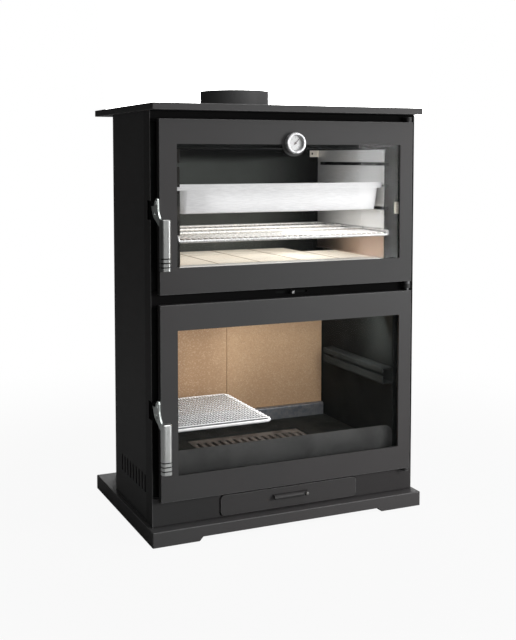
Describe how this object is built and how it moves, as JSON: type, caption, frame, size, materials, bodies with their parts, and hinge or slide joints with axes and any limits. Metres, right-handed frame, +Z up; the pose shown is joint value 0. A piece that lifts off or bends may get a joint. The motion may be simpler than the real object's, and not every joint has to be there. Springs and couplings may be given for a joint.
{
  "type": "wood-burning stove with oven",
  "caption": "Free-standing sheet-steel wood stove: glazed firebox below, glazed oven above, ash drawer, plinth and a round flue collar on top.",
  "frame": {"origin": "on the floor, under the middle of the whole part's bounding box", "axes": "+Z up, along the flue collar; the doors face -Y; +X to the right seen from the front"},
  "size_m": [0.591, 0.4194, 0.876],
  "materials": {
    "stove_paint": "matt heat-proof paint",
    "chamber_steel": "dark heat-proof paint",
    "bright_steel": "satin",
    "rod_chrome": "bright rod",
    "grate_iron": "as cast",
    "fire_board": "pressed mineral board",
    "oven_stone": "fired clay",
    "stove_glass": "clear glass ceramic",
    "gauge_glass": "clear",
    "glass_rope": "knitted glass fibre rope",
    "dial_white": "printed dial",
    "needle_red": "painted"
  },
  "bodies": {
    "stove": {"plinth": "stove_paint", "front_frame": "stove_paint", "top_plate": "stove_paint", "flue_collar": "stove_paint", "side_panel_left": "stove_paint", "side_panel_right": "stove_paint", "hinge_brackets": "stove_paint", "rear_shield": "stove_paint", "sealing_frame": "chamber_steel", "carcass_side_left": "chamber_steel", "carcass_side_right": "chamber_steel", "carcass_rear": "chamber_steel", "hearth_plate": "chamber_steel", "log_guard": "chamber_steel", "board_skirting": "chamber_steel", "grill_rail_left": "chamber_steel", "grill_rail_right": "chamber_steel", "oven_floor_plate": "chamber_steel", "oven_back_plate": "chamber_steel", "oven_ceiling_plate": "chamber_steel", "ash_housing": "chamber_steel", "drawer_runners": "chamber_steel", "latch_keepers": "chamber_steel", "oven_liner_left": "bright_steel", "oven_liner_right": "bright_steel", "tile_strip": "bright_steel", "hinge_pins": "bright_steel", "shield_spacers": "bright_steel", "shield_bolts": "bright_steel", "fire_grate": "grate_iron", "back_board_left": "fire_board", "back_board_right": "fire_board", "baffle": "fire_board", "oven_tiles": "oven_stone"},
    "oven_door": {"oven_door_frame": "stove_paint", "oven_door_glass": "stove_glass", "oven_door_rope": "glass_rope", "oven_glass_clips": "bright_steel", "oven_handle_pivot": "bright_steel", "thermometer_case": "bright_steel", "thermometer_dial": "dial_white", "thermometer_lens": "gauge_glass"},
    "firebox_door": {"firebox_door_frame": "stove_paint", "firebox_door_glass": "stove_glass", "firebox_door_rope": "glass_rope", "firebox_glass_clips": "bright_steel", "firebox_handle_pivot": "bright_steel"},
    "oven_handle": {"oven_handle_arm": "bright_steel", "oven_handle_grip": "bright_steel"},
    "firebox_handle": {"firebox_handle_arm": "bright_steel", "firebox_handle_grip": "bright_steel"},
    "gauge_needle": {"thermometer_needle": "needle_red"},
    "ash_drawer": {"ash_drawer_box": "chamber_steel", "ash_drawer_front": "stove_paint", "drawer_pull": "stove_paint"},
    "air_control": {"air_slider": "chamber_steel", "air_knob": "stove_paint"},
    "rack": {"oven_rack": "rod_chrome"},
    "tray": {"baking_tray": "bright_steel"},
    "grill": {"grill_grid": "rod_chrome"}
  },
  "joints": [
    {"name": "oven_door_hinge", "type": "hinge", "parent": "stove", "child": "oven_door", "pos_m": [0.268, -0.16475, 0.64], "axis": [0, 0, 1], "range_deg": [0, 110]},
    {"name": "firebox_door_hinge", "type": "hinge", "parent": "stove", "child": "firebox_door", "pos_m": [0.268, -0.16475, 0.268], "axis": [0, 0, 1], "range_deg": [0, 110]},
    {"name": "oven_handle_pivot_joint", "type": "hinge", "parent": "oven_door", "child": "oven_handle", "pos_m": [-0.2815, -0.16375, 0.638], "axis": [-1, 0, 0], "range_deg": [0, 35]},
    {"name": "firebox_handle_pivot_joint", "type": "hinge", "parent": "firebox_door", "child": "firebox_handle", "pos_m": [-0.2815, -0.16375, 0.259], "axis": [-1, 0, 0], "range_deg": [0, 35]},
    {"name": "gauge_needle_turn", "type": "hinge", "parent": "oven_door", "child": "gauge_needle", "pos_m": [0.003, -0.17575, 0.76], "axis": [0, 1, 0], "range_deg": [-120, 90]},
    {"name": "ash_drawer_slide", "type": "slide", "parent": "stove", "child": "ash_drawer", "axis": [0, -1, 0], "range_m": [0, 0.27]},
    {"name": "air_control_slide", "type": "slide", "parent": "stove", "child": "air_control", "axis": [1, 0, 0], "range_m": [-0.03, 0.03]},
    {"name": "rack_slide", "type": "slide", "parent": "stove", "child": "rack", "axis": [0, -1, 0], "range_m": [0, 0.008]},
    {"name": "tray_slide", "type": "slide", "parent": "stove", "child": "tray", "axis": [0, -1, 0], "range_m": [0, 0.02]},
    {"name": "grill_slide", "type": "slide", "parent": "stove", "child": "grill", "axis": [0, -1, 0], "range_m": [0, 0.03]}
  ]
}
